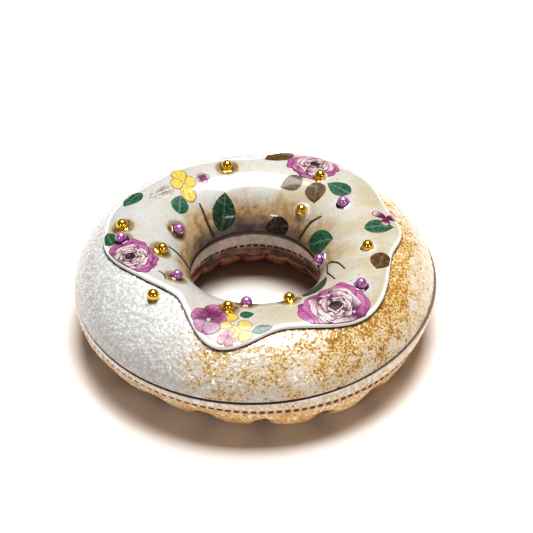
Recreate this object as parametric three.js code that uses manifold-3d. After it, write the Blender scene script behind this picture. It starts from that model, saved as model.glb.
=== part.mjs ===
// A ring doughnut in glazed stoneware, life size, in millimetres with +Z up.
// Its dough is two fired shells that meet at a seam: a domed top and a lobed base.
// A wavy slab of icing lies over the top and runs down into the hole, set with small lustre beads.
// The origin is the middle of the footprint, on the surface that the doughnut stands on.

import * as THREE from 'three';
import { mergeVertices } from 'three/addons/utils/BufferGeometryUtils.js';
import Module from 'manifold-3d';

const wasm = await Module();
wasm.setup();

// The ring from above. It was shaped by hand, so it is a little oval.
const OUTER_RADIUS = 50;
const HOLE_RADIUS = 18.9;
const CREST_RADIUS = 33.8;
const OVAL_ALONG_X = -0.4;
const OVAL_ON_THE_DIAGONAL = 0.75;

// The two shells. A roundness of 2 is an ellipse, and more is squarer.
const TOP_HEIGHT = 12.9;
const TOP_ROUNDNESS_OUTSIDE = 1.78;
const TOP_ROUNDNESS_INSIDE = 2;
const BASE_DEPTH = 15;
const BASE_ROUNDNESS_OUTSIDE = 2.35;
const BASE_ROUNDNESS_INSIDE = 3.4;
const BASE_OVERHANG = 0.3;
const BASE_SHIFT = 0.5;
const FOOT_FLATTENING = 0.35;

// Where the potter's hands pressed the base in or out, at its foot: [angle in degrees, amount]
const BASE_PRESSED = [
  [30, 0.2],
  [120, 0],
  [195, 0.6],
  [240, -2.9],
  [294, 2],
  [340, -2],
];

// The seam between the shells, an open line with rounded lips
const SEAM_GAP = 0.3;
const LIP_ROUND = 0.6;
const LIP_REACH = 0.05;

// The lobes pinched round the base, below a plain band, and the waist above them in the hole
const LOBES = 19;
const FIRST_CREASE = 8;
const LOBE_DEPTH = 1.5;
const LOBE_SHARPNESS = 1.5;
const LOBES_START = 0.16;
const LOBES_FULL = 0.36;
const WAIST_REACH = 0.15;
const WAIST_WIDTH = 0.08;
const WAIST_DEPTH = 0.8;

// The icing. Reach is 0 at the outer seam, 1 on the crest and 2 at the seam in the hole.
const ICING_LIFT = 1.2;
const ICING_CLEARANCE = 0.3;
const ICING_EDGE_ROUND = 0.025;
const ICING_LOWER_END = 1.98;

// Where the icing's edge turns, going round: [angle in degrees, reach]
const ICING_TURNS = [
  [9, 0.7],
  [21, 0.75],
  [66, 0.48],
  [93, 0.88],
  [134, 0.79],
  [165, 0.635],
  [178, 0.66],
  [227, 1.115],
  [258, 0.63],
  [283, 0.87],
  [317, 0.65],
  [351, 0.825],
];

// The beads, each a ball in a flared collar of glaze: [angle in degrees, reach]
const GOLD_BEADS = [
  [105.2, 1.058],
  [56.8, 1.042],
  [54.2, 1.52],
  [354.5, 1.122],
  [173.2, 0.87],
  [188, 1.333],
  [256.8, 1.169],
  [292.5, 1.377],
];
const LILAC_BEADS = [
  [161.2, 1.481],
  [182.2, 0.882],
  [215.2, 1.341],
  [265.5, 1.361],
  [34.2, 1.181],
  [7.8, 1.792],
  [326.2, 0.978],
];
const BEAD_RADIUS = 1.45;
const BEAD_CENTRE = 1.35;
const COLLAR_RADIUS = 2.1;
const COLLAR_THICKNESS = 0.25;
const COLLAR_NECK = 1.25;
const BEAD_ROOT = 0.45;

// One larger gold bead sits straight on the dough.
const DOUGH_BEAD = [222.2, 0.906];
const DOUGH_BEAD_RADIUS = 1.65;
const DOUGH_BEAD_CENTRE = 1.25;

// How finely the solids are cut
const TOP_COLUMNS = 84;
const TOP_ROWS = 14;
const BASE_COLUMNS = 6 * LOBES;
const BASE_ROWS = 9;
const ICING_COLUMNS = 90;
const ICING_ROWS = 10;
const ICING_BACK_ROWS = 9;
const BEAD_SIDES = 8;
const BEAD_ROWS = 5;

const { degToRad, radToDeg, smoothstep, lerp, euclideanModulo } = THREE.MathUtils;

// Evenly spaced values from start to end, both included
function spread(start, end, count) {
  return Array.from({ length: count }, (_, i) => lerp(start, end, i / (count - 1)));
}

// A value that eases from each turn to the next round the ring, at an angle in radians
function eased(turns, angle) {
  const degrees = euclideanModulo(radToDeg(angle), 360);
  const after = turns.findIndex(([turn]) => turn > degrees);
  const next = after < 0 ? 0 : after;
  const last = (next + turns.length - 1) % turns.length;
  const [from, fromValue] = turns[last];
  const [to, toValue] = turns[next];
  const along = euclideanModulo(degrees - from, 360) / euclideanModulo(to - from, 360);
  return lerp(fromValue, toValue, smoothstep(along, 0, 1));
}

function outerRadius(angle) {
  return OUTER_RADIUS + OVAL_ALONG_X * Math.cos(2 * angle) + OVAL_ON_THE_DIAGONAL * Math.sin(2 * angle);
}

// Each shell's section is a superellipse on either side of the crest.
const NOT_PRESSED = [
  [0, 0],
  [180, 0],
];
const topShell = {
  overhang: 0,
  pressed: NOT_PRESSED,
  height: TOP_HEIGHT,
  outsideRoundness: TOP_ROUNDNESS_OUTSIDE,
  insideRoundness: TOP_ROUNDNESS_INSIDE,
};
const baseShell = {
  overhang: BASE_OVERHANG,
  pressed: BASE_PRESSED,
  height: -(BASE_DEPTH + FOOT_FLATTENING),
  outsideRoundness: BASE_ROUNDNESS_OUTSIDE,
  insideRoundness: BASE_ROUNDNESS_INSIDE,
};

// A point of a shell's section, moved out along its normal by lift. Its x is the radius and y the height.
function sectionPoint(shell, angle, reach, lift = 0) {
  const outside = reach <= 1;
  const side = outside ? 1 : -1;
  const roundness = outside ? shell.outsideRoundness : shell.insideRoundness;
  const turn = ((outside ? reach : 2 - reach) * Math.PI) / 2;
  const across = Math.cos(turn) ** (2 / roundness);
  const up = Math.sin(turn) ** (2 / roundness);
  const outer = outerRadius(angle) + shell.overhang + up * eased(shell.pressed, angle);
  const width = outside ? outer - CREST_RADIUS : CREST_RADIUS - HOLE_RADIUS;
  const normal = new THREE.Vector2(
    (side * across ** (roundness - 1)) / width,
    up ** (roundness - 1) / shell.height,
  ).normalize();
  const point = new THREE.Vector2(CREST_RADIUS + side * width * across, shell.height * up);
  return point.addScaledVector(normal, lift);
}

// The place in space of a section point at an angle round the ring
function turned(point, angle) {
  return new THREE.Vector3(point.x * Math.cos(angle), point.x * Math.sin(angle), point.y);
}

// A closed ring: a closed section at each angle, listed anticlockwise with the radius to the right
function ringGeometry(columns, sectionAt) {
  const positions = [];
  const index = [];
  let rows = 0;
  for (let column = 0; column < columns; column++) {
    const angle = (column / columns) * 2 * Math.PI;
    const section = sectionAt(angle);
    rows = section.length;
    section.forEach((point) => positions.push(...turned(point, angle).toArray()));
  }
  for (let column = 0; column < columns; column++) {
    const next = (column + 1) % columns;
    for (let row = 0; row < rows; row++) {
      const after = (row + 1) % rows;
      const near = column * rows;
      const far = next * rows;
      index.push(near + row, far + row, far + after);
      index.push(near + row, far + after, near + after);
    }
  }
  const geometry = new THREE.BufferGeometry();
  geometry.setAttribute('position', new THREE.Float32BufferAttribute(positions, 3));
  geometry.setIndex(index);
  return geometry;
}

// The domed top, flat underneath, with its lips rounded into the seam
function topSection(angle) {
  const floor = SEAM_GAP / 2;
  return [
    new THREE.Vector2(outerRadius(angle) - LIP_ROUND, floor),
    ...spread(LIP_REACH, 2 - LIP_REACH, TOP_ROWS).map((reach) => sectionPoint(topShell, angle, reach)),
    new THREE.Vector2(HOLE_RADIUS + LIP_ROUND, floor),
  ];
}

// How deep a crease between two lobes goes in: 0 on a lobe's crown and 1 in the crease
function creaseDepth(angle) {
  return (1 - Math.abs(Math.sin((LOBES * (angle - degToRad(FIRST_CREASE))) / 2))) ** LOBE_SHARPNESS;
}

// How far in the waist goes, which only the wall of the hole has
function waistDepth(reach) {
  return Math.max(0, 1 - Math.abs(2 - reach - WAIST_REACH) / WAIST_WIDTH);
}

// A point of the base, pulled in at the creases and the waist, and never lower than the foot
function basePoint(angle, reach) {
  const fromSeam = reach <= 1 ? reach : 2 - reach;
  const creases = LOBE_DEPTH * creaseDepth(angle) * smoothstep(fromSeam, LOBES_START, LOBES_FULL);
  const relief = -creases - WAIST_DEPTH * waistDepth(reach);
  const plain = sectionPoint(baseShell, angle, reach);
  const pulled = sectionPoint(baseShell, angle, reach, relief);
  pulled.y = plain.y <= -BASE_DEPTH ? -BASE_DEPTH : Math.max(pulled.y, -BASE_DEPTH);
  return pulled;
}

// The reach at which a section of some roundness comes down to the flat foot
function footReach(roundness) {
  const footHeight = BASE_DEPTH / (BASE_DEPTH + FOOT_FLATTENING);
  return Math.asin(footHeight ** (roundness / 2)) / (Math.PI / 2) + 0.001;
}

// The lobed base, from the lip in the hole round under the foot to the outer lip
function baseSection(angle) {
  const ceiling = -SEAM_GAP / 2;
  const inside = spread(2 - LIP_REACH, 2 - footReach(BASE_ROUNDNESS_INSIDE), BASE_ROWS);
  const outside = spread(footReach(BASE_ROUNDNESS_OUTSIDE), LIP_REACH, BASE_ROWS);
  return [
    new THREE.Vector2(HOLE_RADIUS + LIP_ROUND, ceiling),
    ...inside.map((reach) => basePoint(angle, reach)),
    ...outside.map((reach) => basePoint(angle, reach)),
    new THREE.Vector2(outerRadius(angle) + BASE_OVERHANG - LIP_ROUND, ceiling),
  ];
}

// The icing slab: its face from the wavy edge over the crest to the lower end, then its back
function icingSection(angle) {
  const edge = eased(ICING_TURNS, angle);
  const inner = ICING_LOWER_END;
  const middle = (ICING_LIFT + ICING_CLEARANCE) / 2;
  const face = spread(edge + ICING_EDGE_ROUND, inner - ICING_EDGE_ROUND / 2, ICING_ROWS);
  const back = spread(inner - ICING_EDGE_ROUND / 2, edge + ICING_EDGE_ROUND / 2, ICING_BACK_ROWS);
  return [
    sectionPoint(topShell, angle, edge, middle),
    ...face.map((reach) => sectionPoint(topShell, angle, reach, ICING_LIFT)),
    sectionPoint(topShell, angle, inner, middle),
    ...back.map((reach) => sectionPoint(topShell, angle, reach, ICING_CLEARANCE)),
  ];
}

// A ball's outline from an angle below its centre up to its top, on the axis
function arc(radius, centre, lowest, rows) {
  const points = spread(lowest, Math.PI / 2, rows).map(
    (tilt) => new THREE.Vector2(radius * Math.cos(tilt), centre + radius * Math.sin(tilt)),
  );
  points[rows - 1].x = 0;
  return points;
}

// A bead on its collar, turned about +Y, with its root below the surface at height 0
function collaredBead() {
  const ball = arc(BEAD_RADIUS, BEAD_CENTRE, -Math.acos(COLLAR_NECK / BEAD_RADIUS), BEAD_ROWS);
  const profile = [
    new THREE.Vector2(0, -BEAD_ROOT),
    new THREE.Vector2(COLLAR_RADIUS, -BEAD_ROOT),
    new THREE.Vector2(COLLAR_RADIUS, COLLAR_THICKNESS / 2),
    new THREE.Vector2((COLLAR_RADIUS + COLLAR_NECK) / 2, COLLAR_THICKNESS),
    ...ball,
  ];
  return new THREE.LatheGeometry(profile, BEAD_SIDES);
}

// A bare ball, half sunk
function plainBead() {
  const ball = arc(DOUGH_BEAD_RADIUS, DOUGH_BEAD_CENTRE, -Math.PI / 2, BEAD_ROWS + 2);
  ball[0].x = 0;
  return new THREE.LatheGeometry(ball, BEAD_SIDES);
}

// Stands a bead on the top shell at an angle and reach, lift above the bare dough.
function standOnTop(geometry, [degrees, reach], lift) {
  const angle = degToRad(degrees);
  const foot = turned(sectionPoint(topShell, angle, reach, lift), angle);
  const above = turned(sectionPoint(topShell, angle, reach, lift + 1), angle);
  const normal = above.sub(foot).normalize();
  const turn = new THREE.Quaternion().setFromUnitVectors(new THREE.Vector3(0, 1, 0), normal);
  return geometry.clone().applyQuaternion(turn).translate(foot.x, foot.y, foot.z);
}

// A closed mesh as a solid that can be joined to others
function toSolid(geometry) {
  const bare = new THREE.BufferGeometry();
  bare.setAttribute('position', geometry.getAttribute('position'));
  bare.setIndex(geometry.getIndex());
  const merged = mergeVertices(bare, 1e-4);
  const corners = merged.getIndex().array;
  const kept = [];
  for (let i = 0; i < corners.length; i += 3) {
    const [a, b, c] = corners.slice(i, i + 3);
    if (a !== b && b !== c && c !== a) kept.push(a, b, c);
  }
  const vertProperties = new Float32Array(merged.getAttribute('position').array);
  return new wasm.Manifold(new wasm.Mesh({ numProp: 3, vertProperties, triVerts: new Uint32Array(kept) }));
}

function toGeometry(solid) {
  const { vertProperties, triVerts } = solid.getMesh();
  const geometry = new THREE.BufferGeometry();
  geometry.setAttribute('position', new THREE.Float32BufferAttribute(vertProperties, 3));
  geometry.setIndex(new THREE.Uint32BufferAttribute(triVerts, 1));
  return geometry;
}

// Joins beads to the piece that they stand on.
function joined(geometry, beads) {
  return toGeometry(beads.map(toSolid).reduce((body, bead) => body.add(bead), toSolid(geometry)));
}

function makeTop() {
  const bead = standOnTop(plainBead(), DOUGH_BEAD, 0);
  return joined(ringGeometry(TOP_COLUMNS, topSection), [bead]);
}

function makeIcing() {
  const bead = collaredBead();
  const places = [...GOLD_BEADS, ...LILAC_BEADS];
  return joined(
    ringGeometry(ICING_COLUMNS, icingSection),
    places.map((place) => standOnTop(bead, place, ICING_LIFT)),
  );
}

function makeBase() {
  return ringGeometry(BASE_COLUMNS, baseSection).translate(BASE_SHIFT, 0, 0);
}

const saltGlaze = new THREE.MeshStandardMaterial({ color: 0xcfccc2, roughness: 0.35, metalness: 0 });
const stainedGlaze = new THREE.MeshStandardMaterial({ color: 0xd9c6a0, roughness: 0.45, metalness: 0 });
const icingGlaze = new THREE.MeshStandardMaterial({ color: 0xe9e2cf, roughness: 0.12, metalness: 0 });

function namedMesh(name, geometry, material) {
  const mesh = new THREE.Mesh(geometry, material);
  mesh.name = name;
  return mesh;
}

const doughnut = new THREE.Group();
doughnut.add(
  namedMesh('dough_top', makeTop(), saltGlaze),
  namedMesh('dough_base', makeBase(), stainedGlaze),
  namedMesh('icing', makeIcing(), icingGlaze),
);

// The foot is set on the ground, and the footprint's middle on the origin.
const bounds = new THREE.Box3().setFromObject(doughnut);
const middle = bounds.getCenter(new THREE.Vector3());
doughnut.position.set(-middle.x, -middle.y, -bounds.min.z);

export default doughnut;
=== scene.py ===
# %% [markdown]
# # An iced ring doughnut in glazed stoneware
#
# The real object is a potter's doughnut, fired in stoneware: a domed top with a pebbly salt glaze,
# a lobed base under it, and a wavy slab of icing with china roses and small lustre beads.
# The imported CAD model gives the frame. Its solids have the true form, and this script rebuilds each
# of them with a finer surface and its fired finish.

import math

import bpy
import numpy as np
from mathutils import Matrix, Vector, noise


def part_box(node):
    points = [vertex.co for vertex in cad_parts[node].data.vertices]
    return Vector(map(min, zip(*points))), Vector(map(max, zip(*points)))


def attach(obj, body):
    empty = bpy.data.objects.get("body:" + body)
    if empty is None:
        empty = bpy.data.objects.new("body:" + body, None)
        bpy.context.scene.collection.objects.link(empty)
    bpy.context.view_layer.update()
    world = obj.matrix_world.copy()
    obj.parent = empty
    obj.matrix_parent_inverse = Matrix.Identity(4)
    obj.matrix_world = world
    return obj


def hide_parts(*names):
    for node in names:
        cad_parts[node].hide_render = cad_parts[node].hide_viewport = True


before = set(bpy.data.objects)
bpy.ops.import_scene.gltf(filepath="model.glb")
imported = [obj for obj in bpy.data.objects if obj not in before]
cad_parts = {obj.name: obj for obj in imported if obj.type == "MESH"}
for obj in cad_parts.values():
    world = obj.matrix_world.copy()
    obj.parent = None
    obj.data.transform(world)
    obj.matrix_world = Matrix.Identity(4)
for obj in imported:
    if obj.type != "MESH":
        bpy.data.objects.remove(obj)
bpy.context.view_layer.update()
print("CAD nodes:", sorted(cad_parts))

# %% [markdown]
# ## The ring's place
#
# Everything is worked out in millimetres round the ring's own axis, with height 0 at the seam
# between top and base. The frame says where that is: the axis is the middle of the domed top's box,
# and the seam lies halfway between the two shells.

# %% The ring's own axis and seam
MM = 0.001
top_low, top_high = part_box("dough_top")
base_low, base_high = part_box("dough_base")
SEAM = (top_low.z + base_high.z) / 2
RING_CENTRE = np.array([(top_low.x + top_high.x) / 2, (top_low.y + top_high.y) / 2, SEAM])
print("ring centre, in metres:", RING_CENTRE.round(5))

# %% [markdown]
# ## The section
#
# Cut through the ring and each shell is a superellipse: an oval whose roundness can be set on each
# side. A place on a shell is then two numbers, as on a map. The angle goes round the ring. The
# reach goes over it, from 0 at the outer seam through 1 on the crest to 2 at the seam in the hole.
# A modelled curve lathed round the axis would give the same ring, but formulas also place the
# beads and flowers, so the section is written as a function on whole arrays of places. Values that
# change round the ring, such as the seam's gap, are lists of turns, each an angle and a value.

# %% The shells' sizes, in millimetres and degrees
OUTER_RADIUS = 50
HOLE_RADIUS = 18.9
CREST_RADIUS = 33.8
OVAL_ALONG_X = -0.4
OVAL_ON_THE_DIAGONAL = 0.75
SEAM_GAP_TURNS = [(0, 0.16), (60, 0.3), (150, 0.36), (195, 0.58), (275, 0.5), (302, 0.2), (330, 0.12)]
LIP_ROUND = 0.35

TOP = {"height": 12.9, "outside": 1.78, "inside": 2.0, "overhang": 0.0, "pressed": [(0, 0), (180, 0)]}
BASE_DEPTH = 15
BASE_SHIFT = np.array([0.5, 0, 0])
BASE = {
    "height": -15.35,
    "outside": 2.35,
    "inside": 3.4,
    "overhang": 0.3,
    "pressed": [(30, 0.2), (120, 0), (195, 0.6), (240, -2.9), (294, 2), (340, -2)],
}


# %% From angle and reach to a place in space
def smooth(value, start, end):
    """0 before start, 1 after end, and an even S between them."""
    along = np.clip((value - start) / (end - start), 0, 1)
    return along * along * (3 - 2 * along)


def eased(turns, angle):
    """A value that eases from each turn (degrees, value) to the next round the ring."""
    degrees = [turn[0] for turn in turns] + [turns[0][0] + 360]
    values = np.array([turn[1] for turn in turns] + [turns[0][1]], float)
    wrapped = np.mod(np.degrees(angle) - degrees[0], 360) + degrees[0]
    last = np.clip(np.searchsorted(degrees, wrapped, side="right") - 1, 0, len(turns) - 1)
    along = smooth(wrapped, np.take(degrees, last), np.take(degrees, last + 1))
    return values[last] + (values[last + 1] - values[last]) * along


def outer_radius(angle):
    return OUTER_RADIUS + OVAL_ALONG_X * np.cos(2 * angle) + OVAL_ON_THE_DIAGONAL * np.sin(2 * angle)


def half_gap(angle):
    """Half the height of the open seam, one row for each angle."""
    return eased(SEAM_GAP_TURNS, angle).reshape(-1, 1) / 2


def section(shell, angle, reach, lift=0):
    """The radius and height of places on a shell, moved out by lift along the section's normal."""
    outside = reach <= 1
    side = np.where(outside, 1, -1)
    roundness = np.where(outside, shell["outside"], shell["inside"])
    turn = np.where(outside, reach, 2 - reach) * math.pi / 2
    across = np.clip(np.cos(turn), 0, 1) ** (2 / roundness)
    up = np.clip(np.sin(turn), 0, 1) ** (2 / roundness)
    outer = outer_radius(angle) + shell["overhang"] + up * eased(shell["pressed"], angle)
    width = np.where(outside, outer - CREST_RADIUS, CREST_RADIUS - HOLE_RADIUS)
    normal_out = side * across ** (roundness - 1) / width
    normal_up = up ** (roundness - 1) / shell["height"]
    length = np.hypot(normal_out, normal_up)
    radius = CREST_RADIUS + side * width * across + lift * normal_out / length
    return radius, shell["height"] * up + lift * normal_up / length


def in_space(radius, height, angle):
    return np.stack([radius * np.cos(angle), radius * np.sin(angle), height + 0 * angle], axis=-1)


# %% [markdown]
# Equal steps of reach aren't equal steps of clay: a superellipse bunches them up. A table of the
# length walked along the section turns one into the other, so that rows of faces and printed
# motifs can be spaced in real millimetres.

# %% Millimetres walked over each shell
ALL_REACHES = np.linspace(0, 2, 20001)
TYPICAL_ANGLE = 0.6


def walked_over(shell):
    """How far it is along the section from the outer seam to each of all reaches."""
    radius, height = section(shell, TYPICAL_ANGLE, ALL_REACHES)
    steps = np.hypot(np.diff(radius), np.diff(height))
    return np.concatenate([[0], np.cumsum(steps)])


TOP_WALK = walked_over(TOP)
BASE_WALK = walked_over(BASE)


def walk_to(reach, walk=TOP_WALK):
    return np.interp(reach, ALL_REACHES, walk)


def reach_at(length, walk=TOP_WALK):
    return np.interp(length, walk, ALL_REACHES)


print("over the top, seam to seam:", round(TOP_WALK[-1], 1), "mm")

# %% [markdown]
# ## The icing's edge
#
# The slab was cut with a wavy edge. The edge is a short list of turns, each an angle and how far up
# the dome it stands there, and the line eases from one to the next. The distance from that edge is
# needed on the dome too, because fired colour has gathered along it.

# %% The icing's edge and the distance from it
ICING_LIFT = 1.2
ICING_LOWER_END = 1.98
ICING_TURNS = [
    (9, 0.7),
    (21, 0.75),
    (66, 0.48),
    (93, 0.88),
    (134, 0.79),
    (165, 0.635),
    (178, 0.66),
    (227, 1.115),
    (258, 0.63),
    (283, 0.87),
    (317, 0.65),
    (351, 0.825),
]
EDGE_RADIUS = 42
SMALL_TURN = 0.01


def from_icing_edge(angle, reach):
    """Millimetres from the icing's edge, above 0 under the icing and below 0 on bare dough."""
    edge = walk_to(eased(ICING_TURNS, angle))
    next_edge = walk_to(eased(ICING_TURNS, angle + SMALL_TURN))
    slope = (next_edge - edge) / (SMALL_TURN * EDGE_RADIUS)
    return (walk_to(reach) - edge) / np.hypot(1, slope)


# %% [markdown]
# ## Making a mesh
#
# All three big pieces are closed rings: a closed section at each of many angles. One helper turns an
# array of places into such a mesh, and another adds what the finishes read from it, one number a
# vertex, such as how deep a crease is there. Numbers kept on the mesh follow the shape exactly,
# and the shader adds the fine grain.


# %% Mesh helpers
def new_piece(name, places, faces, material):
    """A smooth mesh in the frame, from places in millimetres round the ring's axis."""
    mesh = bpy.data.meshes.new(name)
    mesh.from_pydata((places * MM + RING_CENTRE).tolist(), [], faces)
    mesh.shade_smooth()
    mesh.materials.append(material)
    piece = bpy.data.objects.new(name, mesh)
    bpy.context.scene.collection.objects.link(piece)
    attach(piece, "root")
    return piece


def ring_faces(columns, rows):
    """Quads of a closed ring whose vertices are listed section by section."""
    column, row = np.meshgrid(np.arange(columns), np.arange(rows), indexing="ij")
    near = column * rows
    far = (column + 1) % columns * rows
    after = (row + 1) % rows
    quads = np.stack([near + row, far + row, far + after, near + after], axis=-1)
    return quads.reshape(-1, 4).tolist()


def keep_numbers(piece, **numbers):
    """Keeps named numbers for each vertex, for the finish to read."""
    for name, values in numbers.items():
        kept = piece.data.attributes.new(name, "FLOAT", "POINT")
        kept.data.foreach_set("value", np.ascontiguousarray(values, np.float32).ravel())


def round_lip(corner_radius, corner_height, side, up):
    """A rounded lip at the seam as (radius, height), from its flat face to its wall."""
    turn = np.linspace(0, math.pi / 2, 5)[:-1]
    radius = corner_radius[:, None] + side * LIP_ROUND * (np.sin(turn) - 1)
    return radius, corner_height + up * LIP_ROUND * (1 - np.cos(turn)) + 0 * radius


def angles(count):
    return np.arange(count) * 2 * math.pi / count


# %% [markdown]
# ## Node helpers
#
# A finish is a tree of nodes. Written out in full each node takes four or five lines, so a small
# helper makes one with its settings and inputs in one call. The others say in a word what a glaze
# needs: times, plus, between, and coats of colour painted over a body.


# %% Node helpers
def colour(red, green, blue):
    """A colour given as it shows on a screen, 0 to 255, in the linear numbers that shaders use."""
    parts = [part / 255 for part in (red, green, blue)]
    linear = [part / 12.92 if part < 0.04045 else ((part + 0.055) / 1.055) ** 2.4 for part in parts]
    return (*linear, 1)


def node(tree, kind, inputs=None, **settings):
    """A node with its settings and its inputs, each a value or a socket to link from."""
    made = tree.nodes.new("ShaderNode" + kind)
    for name, value in settings.items():
        setattr(made, name, value)
    for name, value in (inputs or {}).items():
        if isinstance(value, bpy.types.NodeSocket):
            tree.links.new(value, made.inputs[name])
        else:
            made.inputs[name].default_value = value
    return made


def worked_out(tree, kind, first, second):
    """One Math node on two numbers or sockets."""
    return node(tree, "Math", {0: first, 1: second}, operation=kind).outputs[0]


def times(tree, first, second):
    return worked_out(tree, "MULTIPLY", first, second)


def plus(tree, first, second):
    return worked_out(tree, "ADD", first, second)


def minus(tree, first, second):
    return worked_out(tree, "SUBTRACT", first, second)


def between(tree, value, start, end, low=0, high=1):
    """Maps a value from start..end to low..high in an even S."""
    inputs = {"Value": value, "From Min": start, "From Max": end, "To Min": low, "To Max": high}
    return node(tree, "MapRange", inputs, interpolation_type="SMOOTHSTEP").outputs[0]


def number(tree, name):
    """The number that the mesh keeps under a name."""
    return node(tree, "Attribute", attribute_name=name).outputs["Fac"]


def mixed(tree, amount, first, second):
    """The colour between two, at an amount from 0 to 1."""
    return node(tree, "Mix", {0: amount, 6: first, 7: second}, data_type="RGBA").outputs[2]


def painted(tree, body, *coats):
    """A body under coats of colour, each given as (how much of it shows, its colour)."""
    for amount, tint in coats:
        body = mixed(tree, amount, body, tint)
    return body


# %% [markdown]
# ## Shared effects
#
# Some effects come back in glaze after glaze, so each is a node group with named inputs: soft clouds
# of colour, small round specks of iron, fine pebbles, and the ripple that a melted glaze keeps. A group
# could hold the whole finish, but then each glaze would need its own copy, so the groups give only
# masks and heights, and every material mixes its own colours.


# %% A group's shell
def new_group(name, result, **sizes):
    """A group with one result: its tree, its inputs, its result and the place on the piece."""
    tree = bpy.data.node_groups.new(name, "ShaderNodeTree")
    for label, start in sizes.items():
        label = label.replace("_", " ")
        socket = tree.interface.new_socket(label, in_out="INPUT", socket_type="NodeSocketFloat")
        socket.default_value = start
    tree.interface.new_socket(result, in_out="OUTPUT", socket_type="NodeSocketFloat")
    taken = tree.nodes.new("NodeGroupInput").outputs
    given = tree.nodes.new("NodeGroupOutput").inputs
    at = node(tree, "TexCoord").outputs["Object"]
    return tree, taken, given, at


def placed(tree, group, **values):
    """A group placed in a material with its own values."""
    made = node(tree, "Group", node_tree=group)
    for label, value in values.items():
        made.inputs[label.replace("_", " ")].default_value = value
    return made.outputs


def per_metre(tree, millimetres):
    """A texture's scale from the size of its features."""
    return worked_out(tree, "DIVIDE", 1000, millimetres)


# %% Clouds, specks and ripple
SPECK_BLUR = 1.3
PEBBLE_SWAY = (0.0005, 0.0005, 0.0005)
FINER = 6

clouds, taken, given, at = new_group("glaze clouds", "Mask", Size_mm=6, Start=0.45, End=0.6)
scale = per_metre(clouds, taken["Size mm"])
cloud = node(clouds, "TexNoise", {"Vector": at, "Scale": scale, "Detail": 4}).outputs["Fac"]
clouds.links.new(between(clouds, cloud, taken["Start"], taken["End"]), given["Mask"])

specks, taken, given, at = new_group("iron specks", "Mask", Spacing_mm=2, Radius=0.2, Share=0.3)
scale = per_metre(specks, taken["Spacing mm"])
cells = node(specks, "TexVoronoi", {"Vector": at, "Scale": scale}).outputs
chosen = worked_out(specks, "LESS_THAN", cells["Color"], taken["Share"])
blurred = times(specks, taken["Radius"], SPECK_BLUR)
inside = between(specks, cells["Distance"], blurred, taken["Radius"])
specks.links.new(times(specks, chosen, inside), given["Mask"])

pebbles, taken, given, at = new_group("fine pebbles", "Height", Size_mm=0.9)
scale = per_metre(pebbles, taken["Size mm"])
sway = node(pebbles, "TexNoise", {"Vector": at, "Scale": scale, "Detail": 2}).outputs["Color"]
swayed = node(pebbles, "VectorMath", {0: sway, 1: PEBBLE_SWAY, 2: at}, operation="MULTIPLY_ADD")
cells = node(pebbles, "TexVoronoi", {"Vector": swayed.outputs["Vector"], "Scale": scale}).outputs
pebbles.links.new(between(pebbles, cells["Distance"], 0.72, 0.12), given["Height"])

ripple, taken, given, at = new_group("glaze ripple", "Height", Size_mm=3, Fine=0.3)
scale = per_metre(ripple, taken["Size mm"])
fine_scale = times(ripple, scale, FINER)
broad = node(ripple, "TexNoise", {"Vector": at, "Scale": scale, "Detail": 1}).outputs["Fac"]
fine = node(ripple, "TexNoise", {"Vector": at, "Scale": fine_scale, "Detail": 2}).outputs["Fac"]
ripple.links.new(plus(ripple, broad, times(ripple, fine, taken["Fine"])), given["Height"])
print("shared effects:", [group.name for group in bpy.data.node_groups])


# %% A glaze material
def new_glaze(name, **settings):
    """A material and its Principled shader, whose fixed values are set on its own sockets."""
    material = bpy.data.materials.new(name)
    material.use_nodes = True
    shader = material.node_tree.nodes["Principled BSDF"]
    for label, value in settings.items():
        shader.inputs[label.replace("_", " ")].default_value = value
    return material, material.node_tree, shader.inputs


def bumped(tree, height, distance):
    """A normal from a height, whose full range is a distance in millimetres."""
    inputs = {"Height": height, "Distance": distance * MM, "Strength": 1.0}
    return node(tree, "Bump", inputs).outputs["Normal"]


# %% [markdown]
# ## The dome's salt glaze
#
# Salt thrown into a hot kiln melts on the clay as beads of glass, so the surface is pebbly like
# orange peel, grey-white on the crown of each pebble and greenish in the dimples. On the front
# right ash has stained the dimples yellow-ochre, thickly by the icing and thinly by the seam, and
# iron in the clay has burnt through as small specks and a few dark spots. The mesh has the pebbles,
# and it keeps their height, so that the finish puts each colour in its dimple.

# %% The dome's finish
salt_glaze, tree, shader = new_glaze("salt_glaze", Coat_Weight=0.8, Coat_Roughness=0.12)
patches = placed(tree, clouds, Size_mm=6, Start=0.35, End=0.68)["Mask"]
blotches = placed(tree, clouds, Size_mm=1.6, Start=0.4, End=0.62)["Mask"]
clumps = placed(tree, clouds, Size_mm=3.2, Start=0.3, End=0.7)["Mask"]
flecks = placed(tree, clouds, Size_mm=0.62, Start=0.34, End=0.66)["Mask"]
fine_pebble = placed(tree, pebbles, Size_mm=0.85)["Height"]
both_pebbles = plus(tree, times(tree, number(tree, "pebble"), 0.4), times(tree, fine_pebble, 0.6))
dimple = between(tree, both_pebbles, 0.6, 0.1)

grey = mixed(tree, blotches, colour(221, 220, 223), colour(208, 208, 209))
grey = mixed(tree, times(tree, dimple, 0.5), grey, colour(162, 166, 150))
cream = mixed(tree, patches, colour(227, 216, 202), colour(220, 200, 164))
clean = mixed(tree, between(tree, number(tree, "creamy"), 0.05, 0.75, 0, 0.92), grey, cream)

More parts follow.
